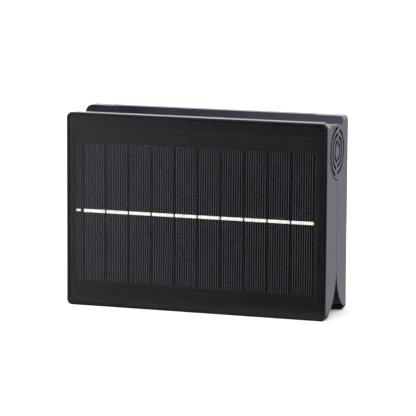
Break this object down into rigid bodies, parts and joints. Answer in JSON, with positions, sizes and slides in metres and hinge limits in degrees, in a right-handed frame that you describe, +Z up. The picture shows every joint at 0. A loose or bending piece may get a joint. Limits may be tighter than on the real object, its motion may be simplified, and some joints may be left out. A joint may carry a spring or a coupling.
{
  "type": "clip-on solar fence light",
  "caption": "Slim solar light in two hinged halves that clips over a fence board like a clothes peg, panel on one side and lamp on the other.",
  "frame": {"origin": "on the ground, under the middle of the parting plane of the closed jaws", "axes": "+X along the hinge, +Y from the solar panel towards the lamp, +Z up"},
  "size_m": [0.15, 0.042, 0.1086],
  "materials": {
    "shell_plastic": "fine satin moulded black",
    "pad_rubber": "matte black",
    "screw_steel": "zinc plated",
    "foam_tape": "closed-cell foam tape",
    "backing_board": "black solder mask",
    "silicon": "near-black silicon with printed fingers",
    "tinned_ribbon": "bright tinned copper",
    "clear_laminate": "clear gloss",
    "cell_wrap": "plain shrink wrap",
    "frame_plastic": "plain moulded",
    "contact_nickel": "nickel plated",
    "lead_sleeve": "plain insulation",
    "frosted_lens": "frosted",
    "white_plastic": "satin white",
    "white_board": "white solder mask",
    "led_package": "phosphor fill in a white body",
    "green_board": "green solder mask",
    "chip_black": "moulded",
    "pin_steel": "turned",
    "spring_steel": "drawn wire",
    "button_plastic": "satin"
  },
  "bodies": {
    "lamp_half": {"lamp_housing": "shell_plastic", "lamp_jaw_plate": "shell_plastic", "lamp_jaw_pad": "pad_rubber", "lamp_screws": "screw_steel", "lamp_lens": "frosted_lens", "lens_gasket": "foam_tape", "reflector_tray": "white_plastic", "led_board": "white_board", "led_chips": "led_package", "board_screws": "screw_steel", "control_board": "green_board", "control_chips": "chip_black", "tact_switch": "chip_black", "button_seal": "pad_rubber", "lamp_leads": "lead_sleeve", "hinge_pin": "pin_steel", "hinge_tube": "pin_steel", "torsion_springs": "spring_steel"},
    "panel_half": {"panel_housing": "shell_plastic", "panel_jaw_plate": "shell_plastic", "panel_jaw_pad": "pad_rubber", "panel_screws": "screw_steel", "panel_gasket": "foam_tape", "solar_backing": "backing_board", "solar_cells": "silicon", "bus_ribbons": "tinned_ribbon", "panel_laminate": "clear_laminate", "battery_cell": "cell_wrap", "battery_cradle": "frame_plastic", "battery_contacts": "contact_nickel", "panel_leads": "lead_sleeve", "battery_leads": "lead_sleeve"},
    "button": {"power_button": "button_plastic", "switch_plunger": "frame_plastic"}
  },
  "joints": [
    {"name": "clip_hinge", "type": "hinge", "parent": "lamp_half", "child": "panel_half", "pos_m": [0, 0, 0.0905], "axis": [-1, 0, 0], "range_deg": [0, 40], "stiffness_Nm_per_rad": 0.35, "springref_deg": -57.3, "deforming": ["torsion_springs"]},
    {"name": "button_press", "type": "slide", "parent": "lamp_half", "child": "button", "axis": [0, -1, 0], "range_m": [0, 0.0004], "stiffness_N_per_m": 800, "springref_m": -0.0005}
  ]
}
